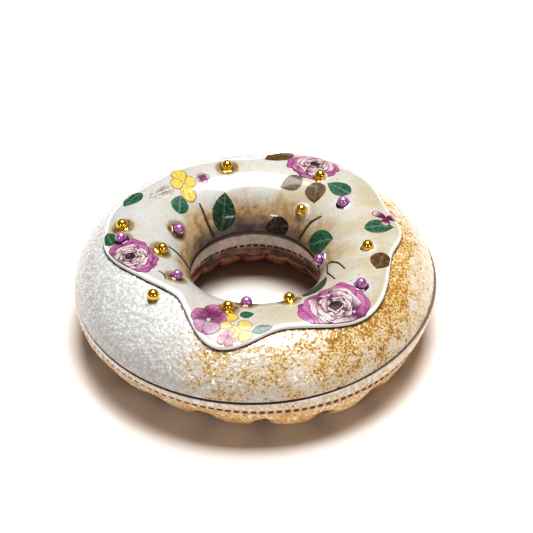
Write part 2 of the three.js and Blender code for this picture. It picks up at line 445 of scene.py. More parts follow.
# Ash shows as a wash where there is some, and as ochre flecks where its level and a dimple add up.
ash_here = times(tree, number(tree, "ash"), plus(tree, times(tree, patches, 0.3), 0.7))
level = plus(tree, between(tree, ash_here, 0, 1.1, -0.05, 0.6), times(tree, clumps, 0.3))
in_dimple = times(tree, minus(tree, 1, both_pebbles), 0.42)
caught = plus(tree, in_dimple, times(tree, flecks, 0.58))
over = minus(tree, plus(tree, level, caught), 1)
some_ash = between(tree, ash_here, 0, 0.15, 0, 0.85)
ochre = mixed(tree, between(tree, over, 0, 0.3), colour(214, 168, 66), colour(150, 100, 28))
crown = between(tree, fine_pebble, 0.6, 0.92)
iron = placed(tree, specks, Spacing_mm=2.2, Radius=0.18, Share=0.2)["Mask"]
spots = placed(tree, specks, Spacing_mm=6, Radius=0.1, Share=0.7)["Mask"]
sooty = between(tree, ash_here, 0.05, 0.5)
body = painted(
    tree,
    clean,
    (between(tree, level, 0.16, 0.72, 0, 0.88), colour(222, 192, 126)),
    (times(tree, between(tree, over, -0.14, 0.16), some_ash), ochre),
    (times(tree, crown, between(tree, level, 0.3, 0.7, 0, 0.6)), colour(232, 214, 172)),
    (times(tree, iron, between(tree, ash_here, 0.2, 0.8, 0.15, 0.9)), colour(96, 60, 28)),
    (times(tree, spots, between(tree, ash_here, 0.15, 0.5, 0, 0.85)), colour(60, 40, 26)),
    (number(tree, "stain"), mixed(tree, sooty, colour(64, 44, 30), colour(124, 72, 32))),
)
tree.links.new(body, shader["Base Color"])
tree.links.new(between(tree, dimple, 0, 1, 0.18, 0.36), shader["Roughness"])
grain = placed(tree, ripple, Size_mm=0.5, Fine=0.3)["Height"]
relief = plus(tree, fine_pebble, times(tree, grain, 0.35))
tree.links.new(bumped(tree, relief, 0.09), shader["Normal"])

# %% [markdown]
# The dome's mesh follows the section in steps of about 0.4 mm. A Displace modifier could raise the
# pebbles, but then nothing would know where they are. Cells of noise are worked out here for each
# vertex instead: a pebble is high where the nearest cell point is much nearer than the next one.

# %% The domed top
DOME_COLUMNS = 880
DOME_ROWS = 104
DOME_ENDS = (0.05, 1.95)
PEBBLE_SPACING = 1.3
PEBBLE_DEPTH = 0.2
PEBBLE_SEED = 5
LIP_STAIN = [0.9, 0.6, 0.1, 0]
ICING_ASH_TURNS = [
    (20, 0.62),
    (60, 0.4),
    (110, 0.12),
    (160, 0),
    (215, 0),
    (240, 0.05),
    (257, 0.7),
    (270, 0.5),
    (284, 0.6),
    (302, 0.95),
    (330, 1.0),
    (355, 0.85),
]
SEAM_ASH_TURNS = [
    (20, 0.3),
    (60, 0.2),
    (110, 0.05),
    (160, 0),
    (240, 0.02),
    (262, 0.42),
    (290, 0.52),
    (312, 0.68),
    (332, 0.52),
    (350, 0.34),
]
CREAM_TURNS = [
    (20, 0.62),
    (60, 0.4),
    (110, 0.12),
    (160, 0),
    (215, 0),
    (268, 0.4),
    (300, 0.9),
    (330, 1),
    (355, 0.85),
]


def pebble_height(places, spacing):
    """1 on the crown of a pebble and 0 in the dimples between them."""
    # Without a seed, noise_vector takes one from the clock and each run has other pebbles.
    noise.seed_set(PEBBLE_SEED)
    heights = []
    for place in places.reshape(-1, 3):
        cell = Vector(place / spacing)
        cell = cell + 0.35 * noise.noise_vector(cell * 0.9)
        heights.append(noise.voronoi(cell)[0][0])
    return smooth(np.array(heights).reshape(places.shape[:-1]), 0.78, 0.15)


angle = angles(DOME_COLUMNS)[:, None]
reach = reach_at(np.linspace(walk_to(DOME_ENDS[0]), walk_to(DOME_ENDS[1]), DOME_ROWS))[None, :]
radius, height = section(TOP, angle, reach)
pebble = pebble_height(in_space(radius, height, angle), PEBBLE_SPACING)
distance = from_icing_edge(angle, reach)
bare = smooth(distance, 1.0, 0.2)
radius, height = section(TOP, angle, reach, -PEBBLE_DEPTH * (1 - pebble) * (0.3 + 0.7 * bare))

outer_lip = round_lip(outer_radius(angle[:, 0]), half_gap(angle), 1, 1)
inner_lip = round_lip(np.full(DOME_COLUMNS, float(HOLE_RADIUS)), half_gap(angle), -1, 1)
radius = np.hstack([outer_lip[0], radius, inner_lip[0][:, ::-1]])
height = np.hstack([outer_lip[1], height, inner_lip[1][:, ::-1]])
lip_rows = outer_lip[0].shape[1]


def with_lips(values, at_lip):
    """A number for every row of the section, the lips' rows included, from their flat face up."""
    lip = np.broadcast_to(at_lip, (len(values), lip_rows))
    return np.hstack([lip, values, lip[:, ::-1]])


dome = new_piece(
    "salt_glazed_dome",
    in_space(radius, height, angle).reshape(-1, 3),
    ring_faces(*radius.shape),
    salt_glaze,
)
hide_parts("dough_top")
toward_seam = smooth(-distance, 2, 11)
seam_ash = eased(SEAM_ASH_TURNS, angle)
ash = eased(ICING_ASH_TURNS, angle) * (1 - toward_seam) + seam_ash * toward_seam
under_icing_line = smooth(distance, -0.6, 0.1)
keep_numbers(
    dome,
    pebble=with_lips(pebble, 0.6),
    ash=with_lips(ash, seam_ash),
    creamy=with_lips(eased(CREAM_TURNS, angle) + 0 * pebble, 0.4),
    stain=with_lips(under_icing_line, LIP_STAIN),
)
print("dome faces:", len(dome.data.polygons))

# %% [markdown]
# ## The base's stained glaze
#
# The base is the same clay, pinched into nineteen lobes like the pleats of a cake case, with a plain
# band above them that carries a row of pressed stitches. Iron has run into the folds and fired
# rust-brown, more at the front right than at the left. In the hole the whole wall is painted darker,
# partly its own pink-brown and partly painted shade, and its folds and stitches go nearly black.

# %% The base's finish
stained_glaze, tree, shader = new_glaze("stained_glaze", Coat_Weight=0.2, Coat_Roughness=0.2)
band = number(tree, "band")
hole = number(tree, "hole")
warmth = number(tree, "warmth")
smudge = number(tree, "smudge")
patches = placed(tree, clouds, Size_mm=4, Start=0.38, End=0.65)["Mask"]
blotches = placed(tree, clouds, Size_mm=1.2, Start=0.42, End=0.6)["Mask"]
flecks = placed(tree, clouds, Size_mm=0.8, Start=0.48, End=0.66)["Mask"]
iron = placed(tree, specks, Spacing_mm=1.6, Radius=0.2, Share=0.2)["Mask"]

pale_lobes = mixed(tree, patches, colour(234, 232, 224), colour(218, 200, 162))
warm_lobes = mixed(tree, patches, colour(255, 238, 192), colour(238, 190, 104))
lobes = mixed(tree, warmth, pale_lobes, warm_lobes)
lobes = mixed(tree, times(tree, blotches, 0.5), lobes, colour(190, 130, 60))
pale_band = mixed(tree, blotches, colour(238, 241, 244), colour(228, 226, 222))
warm_band = mixed(tree, blotches, colour(246, 240, 226), colour(230, 204, 158))
clay = mixed(tree, band, lobes, mixed(tree, warmth, pale_band, warm_band))

fewer_on_band = times(tree, minus(tree, 0.85, times(tree, band, 0.4)), warmth)
less_on_band = minus(tree, 0.95, times(tree, band, 0.5))
# In the hole the wall, its folds and its stitches are painted darker: partly their own colour, partly
# painted shade.
hole_brown_and_shade = mixed(tree, patches, colour(146, 80, 40), colour(86, 42, 16))
folds = between(tree, plus(tree, number(tree, "fold"), times(tree, patches, 0.25)), 0.22, 0.75)
rust = mixed(tree, blotches, colour(158, 78, 32), colour(98, 44, 20))
dark_rust_and_shade = colour(36, 14, 4)
stitch_brown = mixed(tree, hole, colour(118, 74, 40), colour(48, 28, 16))
line_brown = mixed(tree, warmth, colour(72, 46, 30), colour(138, 80, 36))
body = painted(
    tree,
    clay,
    (times(tree, flecks, fewer_on_band), colour(176, 114, 50)),
    (times(tree, smudge, times(tree, warmth, 0.6)), colour(196, 138, 70)),
    # Painted shade in the hole, over its own pink-brown.
    (times(tree, hole, less_on_band), hole_brown_and_shade),
    (times(tree, times(tree, smudge, hole), patches), colour(76, 38, 14)),
    (folds, mixed(tree, hole, rust, dark_rust_and_shade)),
    (times(tree, iron, 0.8), colour(112, 72, 40)),
    (between(tree, number(tree, "stitch"), 0.05, 0.4), stitch_brown),
    (number(tree, "line"), line_brown),
)
tree.links.new(body, shader["Base Color"])
tree.links.new(between(tree, blotches, 0, 1, 0.3, 0.48), shader["Roughness"])
grain = placed(tree, ripple, Size_mm=1.1, Fine=0.4)["Height"]
tree.links.new(bumped(tree, grain, 0.12), shader["Normal"])

# %% [markdown]
# Separate rings could make the band, the stitches and the lobes, but on the clay they are one skin.
# So the base is one mesh, and everything pressed into it is a depth: creases between lobes, a waist
# and a wandering roll in the hole, and the dashes of a stitching wheel. The rows lie closer together
# where the stitches are.

# %% The lobed base
LOBES = 19
FIRST_CREASE = math.radians(8)
LOBE_DEPTH = 1.5
CREASE_IN_HOLE = 0.45
WAIST_DEPTH = 0.8
ROLL_DEPTH = 0.7
ROUGH_SIZE = 2.2
ROUGH_DEPTH = 0.16
STITCHES = 142
STITCHES_IN_HOLE = 61
STITCH_DEPTH = 0.4
STITCH_HALF_WIDTH = 0.56
STITCH_HALF_WIDTH_IN_HOLE = 0.62
STITCH_LINE_IN_HOLE = 4.4
STITCH_LINE = [
    (0, 4.4),
    (60, 4.2),
    (120, 3.8),
    (170, 3.0),
    (215, 2.8),
    (270, 3.0),
    (300, 3.3),
    (330, 4.2),
]
STITCH_CLEARNESS = [(0, 1), (150, 0.8), (200, 0.35), (235, 0.6), (262, 1)]
BASE_WARMTH = [(0, 0.9), (60, 0.6), (150, 0.3), (215, 0.25), (240, 0.55), (270, 0.9), (330, 1)]
BASE_COLUMNS = STITCHES * 7
FIRST_ROW = 0.75
FINE_STEP = 0.21
FINE_END = 6


def base_rows(end_reach, inside):
    """Reaches from the seam down to the foot: fine past the stitches, and coarser below."""
    whole = BASE_WALK[-1]
    end = whole - walk_to(end_reach, BASE_WALK) if inside else walk_to(end_reach, BASE_WALK)
    fine = np.arange(FIRST_ROW, FINE_END, FINE_STEP)
    lengths = np.concatenate([fine, np.linspace(FINE_END, end, 21)])
    return reach_at(whole - lengths if inside else lengths, BASE_WALK)


def foot_reach(roundness):
    """Where a section comes down to the flat foot."""
    up = (BASE_DEPTH / -BASE["height"]) ** (roundness / 2)
    return math.asin(up) / (math.pi / 2) + 0.001


inside = base_rows(2 - foot_reach(BASE["inside"]), True)
outside = base_rows(foot_reach(BASE["outside"]), False)[::-1]
reach = np.concatenate([inside, outside])[None, :]
angle = angles(BASE_COLUMNS)[:, None]
from_seam = np.where(reach <= 1, reach, 2 - reach)
in_hole = np.broadcast_to(reach > 1, (BASE_COLUMNS, reach.shape[1])).astype(float)

radius, height = section(BASE, angle, reach)
plain_height = height
crease = (1 - np.abs(np.sin(LOBES * (angle - FIRST_CREASE) / 2))) ** 1.5
crease = crease * smooth(from_seam, 0.16, 0.36)
crease = crease * (1 + (CREASE_IN_HOLE - 1) * in_hole)
waist = np.clip(1 - np.abs(from_seam - 0.15) / 0.08, 0, 1) * in_hole
roll_line = 8.0 + 0.9 * np.sin(4 * angle + 1) + 0.4 * np.sin(9 * angle)
roll = smooth(np.abs(-height - roll_line), 0.8, 0.1) * in_hole


def dashes(count, line_depth, half_width, clearness):
    """A row of pressed dashes: 1 in a dash and 0 between them."""
    along = np.abs(np.mod(angle * count / (2 * math.pi), 1) - 0.5)
    across = np.abs(-height - line_depth)
    return smooth(along, 0.37, 0.27) * smooth(across, half_width, 0.25) * clearness


stitch_line = eased(STITCH_LINE, angle)
stitch = np.where(
    in_hole > 0,
    dashes(STITCHES_IN_HOLE, STITCH_LINE_IN_HOLE, STITCH_HALF_WIDTH_IN_HOLE, 1),
    dashes(STITCHES, stitch_line, STITCH_HALF_WIDTH, eased(STITCH_CLEARNESS, angle)),
)
clay_places = in_space(radius, height, angle).reshape(-1, 3)
rough = np.array([noise.noise(Vector(place / ROUGH_SIZE)) for place in clay_places])
rough = rough.reshape(radius.shape) * ROUGH_DEPTH * smooth(from_seam, 0.02, 0.2)
pressed = -LOBE_DEPTH * crease - WAIST_DEPTH * waist - ROLL_DEPTH * roll - STITCH_DEPTH * stitch
foot = height <= -BASE_DEPTH + 0.001
radius, height = section(BASE, angle, reach, pressed + rough)
height = np.where(foot, -BASE_DEPTH, np.maximum(height, -BASE_DEPTH))

hole_lip = round_lip(np.full(BASE_COLUMNS, float(HOLE_RADIUS)), -half_gap(angle), -1, -1)
outer_lip = round_lip(outer_radius(angle[:, 0]) + BASE["overhang"], -half_gap(angle), 1, -1)
radius = np.hstack([hole_lip[0], radius, outer_lip[0][:, ::-1]])
height = np.hstack([hole_lip[1], height, outer_lip[1][:, ::-1]])

base = new_piece(
    "lobed_base",
    in_space(radius, height, angle).reshape(-1, 3) + BASE_SHIFT,
    ring_faces(*radius.shape),
    stained_glaze,
)
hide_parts("dough_base")
below_stitches = -plain_height - np.where(in_hole > 0, STITCH_LINE_IN_HOLE, stitch_line)
keep_numbers(
    base,
    fold=with_lips(np.maximum(np.maximum(crease, roll ** 3 * 0.9), waist * 0.3), 0),
    stitch=with_lips(stitch, 0),
    band=with_lips(smooth(below_stitches, 1.2, 0.2), 1),
    smudge=with_lips(smooth(np.abs(below_stitches), 1.1, 0.3), 0),
    warmth=with_lips(eased(BASE_WARMTH, angle) + 0 * in_hole, 0.3),
    hole=np.hstack([0.5 + 0 * hole_lip[0], in_hole, 0 * outer_lip[0]]),
    line=with_lips(0 * in_hole, LIP_STAIN),
)
print("base faces:", len(base.data.polygons))

# %% [markdown]
# ## The icing's glaze
#
# The icing is a smooth ivory glaze, thick and glossy. Its rounded rim is painted whiter, a painted
# highlight that is strongest at the left. Where it runs down into the hole it is stained tan and then
# grey-mauve, partly a real stain and partly painted shade that is darkest at the back of the hole,
# and it goes nearly black at its lower end. Round some beads it took an olive halo from the lustre,
# and round others the glaze pooled milky blue.

# %% The icing's finish
POLISH = {"Coat_Roughness": 0.09, "Roughness": 0.4, "Specular_IOR_Level": 0.2}

icing_glaze, tree, shader = new_glaze("icing_glaze", Coat_Weight=0.5, **POLISH)
descent = number(tree, "descent")
halo = number(tree, "halo")
patches = placed(tree, clouds, Size_mm=9, Start=0.38, End=0.66)["Mask"]
blotches = placed(tree, clouds, Size_mm=2.4, Start=0.4, End=0.66)["Mask"]
mottle = placed(tree, clouds, Size_mm=0.8, Start=0.46, End=0.74)["Mask"]
grain = placed(tree, clouds, Size_mm=0.55, Start=0.42, End=0.66)["Mask"]
iron = placed(tree, specks, Spacing_mm=3.6, Radius=0.07, Share=0.3)["Mask"]

cool_ivory = mixed(tree, patches, colour(190, 191, 194), colour(186, 185, 181))
warm_ivory = mixed(tree, patches, colour(193, 190, 178), colour(185, 173, 147))
tan = mixed(tree, blotches, colour(188, 160, 118), colour(152, 120, 82))
# Tan, mauve and dark grain down into the hole: partly a real stain, partly painted shade.
tan_here = between(tree, plus(tree, descent, times(tree, patches, 0.3)), 0.35, 0.95)
mauve = mixed(tree, blotches, colour(122, 110, 106), colour(92, 80, 78))
halo_here = times(tree, halo, plus(tree, times(tree, blotches, 0.35), 0.65))
olive = mixed(tree, between(tree, halo, 0.3, 0.95), colour(176, 156, 66), colour(92, 66, 14))
body = painted(
    tree,
    mixed(tree, number(tree, "warmth"), cool_ivory, warm_ivory),
    (times(tree, blotches, 0.2), colour(172, 154, 116)),
    (times(tree, mottle, 0.3), colour(164, 152, 122)),
    (tan_here, tan),
    (between(tree, descent, 0.8, 1.15), mauve),
    (times(tree, grain, between(tree, descent, 0.1, 0.9, 0.06, 0.38)), colour(92, 78, 64)),
    # The rim's white is a painted highlight along the rounded edge.
    (number(tree, "rim"), colour(246, 246, 246)),
    (halo_here, olive),
    (times(tree, number(tree, "milk"), 0.55), colour(190, 194, 212)),
    (times(tree, iron, 0.6), colour(120, 86, 48)),
    (number(tree, "stain"), colour(52, 38, 26)),
)
tree.links.new(body, shader["Base Color"])
flow = placed(tree, ripple, Size_mm=5, Fine=0.05)["Height"]
tree.links.new(bumped(tree, flow, 0.12), shader["Normal"])

# %% [markdown]
# ## The beads' places
#
# The beads come before the icing, because the icing's finish has to know where they stand. Milky
# beads stand in a pool of pale glaze and have a bare side on their collars, the others have a halo,
# and three of the lilac ones have gilt collars.

# %% Where the beads stand, as (angle in degrees, reach)
GOLD_PLACES = [
    (105.2, 1.058),
    (56.8, 1.042),
    (54.2, 1.52),
    (354.5, 1.122),
    (173.2, 0.87),
    (188, 1.333),
    (256.8, 1.169),
    (292.5, 1.377),
]
LILAC_PLACES = [
    (161.2, 1.481),
    (182.2, 0.882),
    (215.2, 1.341),
    (265.5, 1.361),
    (34.2, 1.181),
    (7.8, 1.792),
    (326.2, 0.978),
]
DOUGH_BEAD_PLACE = (222.2, 0.906)
MILKY = [*GOLD_PLACES[1:4], *LILAC_PLACES[4:7]]
WITH_HALO = [place for place in GOLD_PLACES + LILAC_PLACES if place not in MILKY]
GILT = [LILAC_PLACES[0], LILAC_PLACES[2], LILAC_PLACES[3]]
RIM_MARGIN = 0.65


def on_icing(place, x, y, lift=0):
    """Lays flat millimetres on the icing's face: x round the ring and y towards the hole."""
    degrees, reach = place
    there = reach_at(walk_to(reach) + y)
    radius, height = section(TOP, math.radians(degrees), there, ICING_LIFT)
    around = math.radians(degrees) + x / radius
    edge = walk_to(eased(ICING_TURNS, around)) + RIM_MARGIN
    there = reach_at(np.clip(walk_to(there), edge, walk_to(ICING_LOWER_END) - RIM_MARGIN))
    radius, height = section(TOP, around, there, ICING_LIFT + lift)
    return in_space(radius, height, around)


def near_beads(places, bead_places, start, end):
    """1 within start millimetres of a bead, easing to 0 at end."""
    nearest = np.full(places.shape[:-1], np.inf)
    for place in bead_places:
        bead = on_icing(place, 0, 0)
        nearest = np.minimum(nearest, np.linalg.norm(places - bead, axis=-1))
    return smooth(nearest, end, start)


# %% [markdown]
# The slab's own mesh has a face, a rounded nose at the wavy edge, a back just clear of the dome, and
# another nose at its lower end in the hole. Each column starts at its own edge, so the face's rows
# bend with the wave and the rim is as round on a drip as between two.

# %% The slab of icing
ICING_COLUMNS = 720
ICING_ROWS = 100
ICING_BACK = 0.06
BACK_ROWS = 8
NOSE_LENGTH = 0.65
NOSE_TUCK = 0.3
NOSE_POINTS = 9
WARMTH_TURNS = [(0, 1), (60, 0.8), (110, 0.35), (150, 0.1), (230, 0.15), (260, 0.5), (300, 0.8)]
# How far the stain and painted shade reach down into the hole, most at the back.
SHADE_TURNS = [(0, 0.55), (60, 0.9), (100, 1), (140, 0.95), (190, 0.8), (230, 0.5), (300, 0.5)]
# How strongly the painted rim highlight shows round the ring.
RIM_HIGHLIGHT_TURNS = [(10, 0.45), (60, 0.65), (110, 1), (315, 1), (342, 0.5)]

angle = angles(ICING_COLUMNS)[:, None]
edge = walk_to(eased(ICING_TURNS, angle))
end = np.full_like(edge, walk_to(ICING_LOWER_END))
turn = np.linspace(-math.pi / 2, math.pi / 2, NOSE_POINTS)[None, :]
tuck = NOSE_TUCK - ICING_BACK
nose_height = NOSE_TUCK + np.where(turn < 0, tuck, ICING_LIFT - NOSE_TUCK) * np.sin(turn)
nose_lift = np.broadcast_to(nose_height, (ICING_COLUMNS, NOSE_POINTS))
nose_reach = np.where(turn < 0, tuck, NOSE_LENGTH) * (1 - np.cos(turn))
across = np.linspace(0, 1, ICING_ROWS + 2)[None, 1:-1]
back_across = np.linspace(1, 0, BACK_ROWS + 2)[None, 1:-1]
flat_length = end - edge - 2 * NOSE_LENGTH
face_walk = edge + NOSE_LENGTH + flat_length * across
back_walk = edge + NOSE_LENGTH + flat_length * back_across
walk = np.hstack([edge + nose_reach, face_walk, end - nose_reach[:, ::-1], back_walk])
lift = np.hstack([
    nose_lift,
    np.full_like(face_walk, ICING_LIFT),
    nose_lift[:, ::-1],
    np.full_like(back_walk, ICING_BACK),
])
reach = reach_at(walk)
radius, height = section(TOP, angle, reach, lift)
places = in_space(radius, height, angle)
faces = ring_faces(*radius.shape)
icing = new_piece("icing_slab", places.reshape(-1, 3), faces, icing_glaze)
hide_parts("icing")
# The painted rim highlight lies on the rounded edge, and is strongest at the left.
rim = smooth(from_icing_edge(angle, reach), 1.5, 0.7) * (reach < 1.5)
low_stain = np.maximum(smooth(lift, 0.36, 0.12), smooth(walk, end - 1.7, end - 1.2))
keep_numbers(
    icing,
    rim=rim * eased(RIM_HIGHLIGHT_TURNS, angle),
    # Stain and painted shade going down into the hole.
    descent=smooth(reach, 1.15, 1.95) * 1.2 * eased(SHADE_TURNS, angle),
    warmth=eased(WARMTH_TURNS, angle) + 0 * reach,
    stain=low_stain,
    halo=near_beads(places, WITH_HALO, 2.5, 4.5),
    milk=near_beads(places, MILKY, 2.2, 3.2),
)
print("icing faces:", len(icing.data.polygons))

# %% [markdown]
# ## The lustre beads
#
# Each bead is a ball of glaze in a flared collar, brushed with lustre: bright gold, or a pearly
# lilac. A collar that was pressed on by hand isn't quite round, so a turned profile gets a slow wave
# round its foot. A sphere on a disc would leave a hard crease where the real one has a fillet.

# %% The lustres
gold_lustre, tree, shader = new_glaze("gold_lustre")
bare = number(tree, "bare")
worn = placed(tree, clouds, Size_mm=0.8, Start=0.5, End=0.7)["Mask"]
gold = mixed(tree, worn, colour(254, 208, 84), colour(232, 168, 46))
tree.links.new(mixed(tree, bare, gold, colour(206, 208, 216)), shader["Base Color"])
tree.links.new(between(tree, bare, 0, 1, 0.85, 0), shader["Metallic"])
tree.links.new(between(tree, worn, 0, 1, 0.1, 0.2), shader["Roughness"])
dents = placed(tree, ripple, Size_mm=1.2, Fine=0.2)["Height"]
tree.links.new(bumped(tree, dents, 0.05), shader["Normal"])

PEARL_SHINE = {"Metallic": 0.45, "Coat_Weight": 1.0, "Coat_Roughness": 0.05}
lilac_lustre, tree, shader = new_glaze("lilac_lustre", **PEARL_SHINE)
pearl = placed(tree, clouds, Size_mm=1.4, Start=0.4, End=0.65)["Mask"]
lilac = painted(
    tree,
    mixed(tree, pearl, colour(206, 146, 204), colour(166, 96, 156)),
    # The lower half of each lilac bead and its collar are painted darker, as shade.
    (number(tree, "underside"), colour(84, 36, 62)),
    (number(tree, "bare"), colour(190, 180, 206)),
    (number(tree, "gilt"), colour(150, 108, 36)),
)
tree.links.new(lilac, shader["Base Color"])
tree.links.new(between(tree, pearl, 0, 1, 0.18, 0.3), shader["Roughness"])
dents = placed(tree, ripple, Size_mm=1.5, Fine=0.2)["Height"]
tree.links.new(bumped(tree, dents, 0.03), shader["Normal"])

# %% Turned beads
BEAD_RADIUS = 1.6
BEAD_CENTRE = 0.74
COLLAR_RADIUS = 2.1
COLLAR_THICKNESS = 0.1
COLLAR_NECK = 1.56
BEAD_ROOT = 0.45
DOUGH_BEAD_RADIUS = 1.65
DOUGH_BEAD_CENTRE = 1.25
BEAD_SIDES = 44
MILKY_SIDE = 1.0


def ball_profile(radius, centre, start, points):
    """(radius, height) over a ball, from a tilt in radians to its top."""
    tilt = np.linspace(start, math.pi / 2, points)
    return radius * np.cos(tilt), centre + radius * np.sin(tilt)


def collared_profile():
    """(radius, height) from the root, over the flared collar and up the ball to its top."""
    start = -math.acos(COLLAR_NECK / BEAD_RADIUS)
    ball_out, ball_up = ball_profile(BEAD_RADIUS, BEAD_CENTRE, start, 17)
    flare = np.linspace(0, 1, 8)[:-1]
    collar_out = COLLAR_RADIUS + (COLLAR_NECK - COLLAR_RADIUS) * flare ** 0.8
    collar_up = COLLAR_THICKNESS + (ball_up[0] - COLLAR_THICKNESS) * flare ** 2.2
    out = np.concatenate([[0, COLLAR_RADIUS], collar_out, ball_out])
    return out, np.concatenate([[-BEAD_ROOT, -BEAD_ROOT], collar_up, ball_up])


def turned_bead(name, place, lift, profile, material, phase):
    """A bead turned about the icing's normal at its place."""
    out, up = profile
    around = angles(BEAD_SIDES)[:, None]
    collar = smooth(out, 1.3, 2.0)[None, :] * smooth(up, 1.0, 0.4)[None, :]
    wave = 0.045 * np.sin(5 * around + phase) + 0.03 * np.sin(8 * around)
    wavy = out[None, :] * (1 + collar * wave)
    local = np.stack([wavy * np.cos(around), wavy * np.sin(around), up + 0 * around], axis=-1)
    angle = math.radians(place[0])
    foot = in_space(*section(TOP, angle, place[1], lift), angle)
    above = in_space(*section(TOP, angle, place[1], lift + 1), angle)
    stand = np.array(Vector(above - foot).to_track_quat("Z", "Y").to_matrix())
    places = local.reshape(-1, 3) @ stand.T + foot
    rows = len(out)
    faces = ring_faces(BEAD_SIDES, rows)
    faces = [face for face in faces if abs(face[0] % rows - face[3] % rows) == 1]
    piece = new_piece(name, places, faces, material)
    weld = piece.modifiers.new("close the ends", "WELD")
    weld.merge_threshold = 0.00001
    milky_side = smooth(0.5 + 0.5 * np.cos(around - MILKY_SIDE), 0.1, 0.6)
    bare = smooth(out, 1.6, 1.82)[None, :] * milky_side
    gilt = smooth(out, 1.62, 1.9)[None, :] + 0 * around
    keep_numbers(
        piece,
        # Painted shade, darker towards the bead's foot.
        underside=smooth(local[..., 2], 1.0, 0.2),
        bare=bare * (place in MILKY),
        gilt=gilt * (place in GILT),
    )
    return piece


collared = collared_profile()
lustres = [("gold", GOLD_PLACES, gold_lustre), ("lilac", LILAC_PLACES, lilac_lustre)]
for lustre, bead_places, material in lustres:
    for index, place in enumerate(bead_places):
        name = f"{lustre}_bead_{index + 1}"
        bead = turned_bead(name, place, ICING_LIFT, collared, material, index)
        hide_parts("icing")
plain = ball_profile(DOUGH_BEAD_RADIUS, DOUGH_BEAD_CENTRE, -math.pi / 2, 21)
bead = turned_bead("gold_bead_on_dough", DOUGH_BEAD_PLACE, 0, plain, gold_lustre, 0)
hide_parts("dough_top")
print("beads:", len(GOLD_PLACES) + len(LILAC_PLACES) + 1)

# %% [markdown]
# ## The flowers
#
# China roses, leaves and small buds are printed on film in ceramic colours, laid on the glaze and
# fired. An image would be the usual way to show them. Here each petal and leaf is a thin patch of
# mesh, bent to the icing and laid over the one before, as the painter of the print laid them, so
# the design is made by rules: generic roses of nested petals, leaves with a midrib, and twigs.

# %% The enamel's finish
flower_enamel, tree, shader = new_glaze("flower_enamel", Coat_Weight=0.35, **POLISH)
tint = node(tree, "Attribute", attribute_name="tint").outputs["Color"]
wash = placed(tree, clouds, Size_mm=0.9, Start=0.45, End=0.65)["Mask"]
stipple = placed(tree, clouds, Size_mm=0.45, Start=0.5, End=0.62)["Mask"]
body = painted(
    tree,
    tint,
    (times(tree, wash, 0.09), colour(206, 196, 180)),
    (times(tree, stipple, 0.28), colour(40, 20, 28)),
)
tree.links.new(body, shader["Base Color"])
flow = placed(tree, ripple, Size_mm=5, Fine=0.05)["Height"]
tree.links.new(bumped(tree, flow, 0.12), shader["Normal"])

# %% [markdown]
# A transfer collects patches round one place on the icing. A petal's patch is a fan of rings from its
# middle to its outline, so that its rim can be darker, and a leaf's is a strip from stalk to tip.
# Each new patch lies a hundredth of a millimetre higher, which is enough for it to cover the last.

# %% Patches of printed film
FILM_LIFT = 0.04
FILM_STEP = 0.01
FILM_THICKNESS = 0.1
PETAL_LINE = 0.5
PETAL_POINTS = 56
PETAL_RINGS = np.array([0, 0.15, 0.3, 0.45, 0.6, 0.72, 0.82, 0.9, 0.95, 1])
LEAF_ROWS = 34
LEAF_STRIPS = np.array([-1, -0.92, -0.7, -0.4, -0.14, -0.05, 0, 0.05, 0.14, 0.4, 0.7, 0.92, 1])
LEAF_TEETH = 9
LEAF_VEINS = 7


def blend(first, second, amount):
    """Colours between two, for an array of amounts."""
    amount = np.clip(np.asarray(amount, float), 0, 1)[..., None]
    return np.array(first)[:3] * (1 - amount) + np.array(second)[:3] * amount


